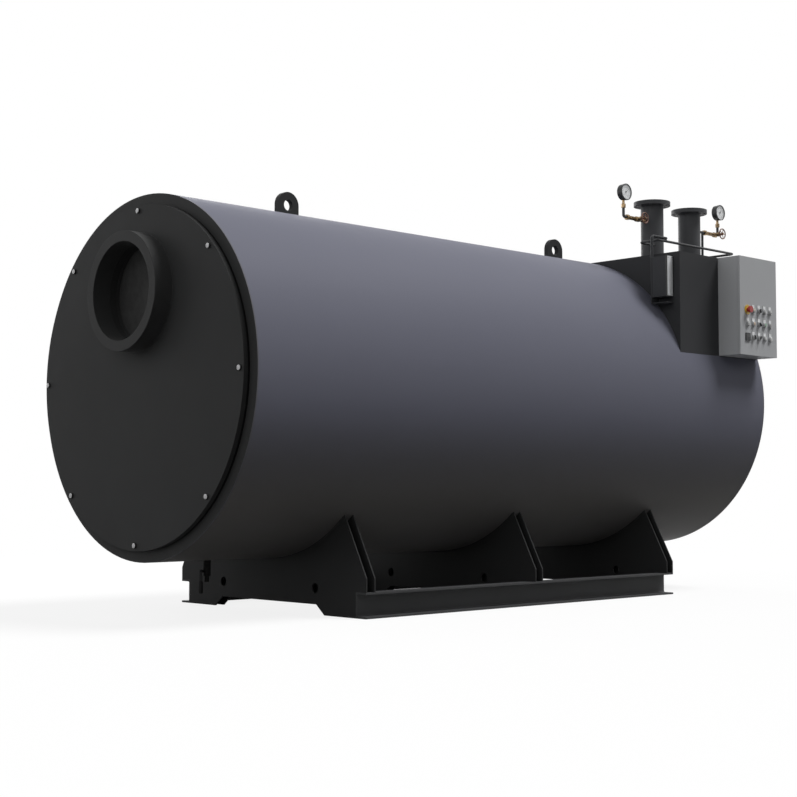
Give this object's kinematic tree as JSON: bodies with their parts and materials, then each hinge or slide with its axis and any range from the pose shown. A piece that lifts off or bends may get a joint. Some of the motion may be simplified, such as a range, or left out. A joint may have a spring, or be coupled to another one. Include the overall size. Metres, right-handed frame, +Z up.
{
  "type": "industrial boiler",
  "caption": "Horizontal shell boiler on channel beams with saddles, bolted ends, a flue outlet, a header box with flanged nozzles, gauges and a control cabinet.",
  "frame": {"origin": "on the floor, under the middle of the overall box", "axes": "+X along the boiler from the flue end to the burner end, -Y towards the control cabinet side, +Z up"},
  "size_m": [4.3144, 1.922, 2.4755],
  "materials": {
    "cladding": "satin",
    "end_paint": "satin",
    "header_paint": "satin",
    "base_paint": "satin",
    "pipe_paint": "satin",
    "tube_paint": "satin",
    "cabinet_paint": "fine texture",
    "instrument_paint": "satin",
    "cover_paint": "satin",
    "gauge_case": "gloss",
    "gauge_dial": "matt",
    "brass": "cast and turned",
    "handwheel": "worn enamel",
    "button_plastic": "matt",
    "stop_plastic": "gloss",
    "controller_plastic": "matt",
    "drain_metal": "satin",
    "lever_steel": "brushed"
  },
  "bodies": {
    "boiler": {"base_beam_left": "base_paint", "base_beam_right": "base_paint", "boiler_shell": "cladding", "burner_end_cover": "end_paint", "burner_end_ring": "end_paint", "burner_flange": "end_paint", "burner_inner_wall": "end_paint", "cabinet_box": "cabinet_paint", "drain_valve": "drain_metal", "flue_collar": "end_paint", "flue_end_cover": "end_paint", "flue_end_ring": "end_paint", "flue_inner_wall": "end_paint", "gauge_1_case": "gauge_case", "gauge_1_dial": "gauge_dial", "gauge_1_riser": "tube_paint", "gauge_1_stem": "brass", "gauge_1_valve": "brass", "gauge_2_case": "gauge_case", "gauge_2_dial": "gauge_dial", "gauge_2_riser": "tube_paint", "gauge_2_stem": "brass", "gauge_2_supply": "tube_paint", "gauge_2_valve": "brass", "header_box": "header_paint", "instrument_box": "instrument_paint", "instrument_bracket": "instrument_paint", "instrument_cover": "cover_paint", "instrument_line": "tube_paint", "lifting_lug_front": "end_paint", "lifting_lug_rear": "end_paint", "nozzle_1_flange": "pipe_paint", "nozzle_1_pipe": "pipe_paint", "nozzle_2_flange": "pipe_paint", "nozzle_2_pipe": "pipe_paint", "nozzle_link_tube": "tube_paint", "saddle_front": "base_paint", "saddle_middle": "base_paint", "saddle_rear": "base_paint"},
    "gauge_1_handwheel": {"gauge_1_wheel": "handwheel"},
    "gauge_2_handwheel": {"gauge_2_wheel": "handwheel"},
    "drain_handle": {"drain_lever": "lever_steel"},
    "door": {"cabinet_door": "cabinet_paint", "emergency_stop": "stop_plastic", "door_devices": "button_plastic", "door_controller": "controller_plastic"}
  },
  "joints": [
    {"name": "gauge_1_valve_turn", "type": "hinge", "parent": "boiler", "child": "gauge_1_handwheel", "pos_m": [1.24575, -0.459, 2.277], "axis": [0, -1, 0], "range_deg": [0, 720]},
    {"name": "gauge_2_valve_turn", "type": "hinge", "parent": "boiler", "child": "gauge_2_handwheel", "pos_m": [2.07375, -0.459, 2.277], "axis": [0, -1, 0], "range_deg": [0, 720]},
    {"name": "drain_turn", "type": "hinge", "parent": "boiler", "child": "drain_handle", "pos_m": [-1.67025, 0.071, 0.215], "axis": [1, 0, 0], "range_deg": [0, 90]},
    {"name": "door_swing", "type": "hinge", "parent": "boiler", "child": "door", "pos_m": [1.98275, -0.9145, 1.732], "axis": [0, 0, 1], "range_deg": [0, 110]}
  ]
}
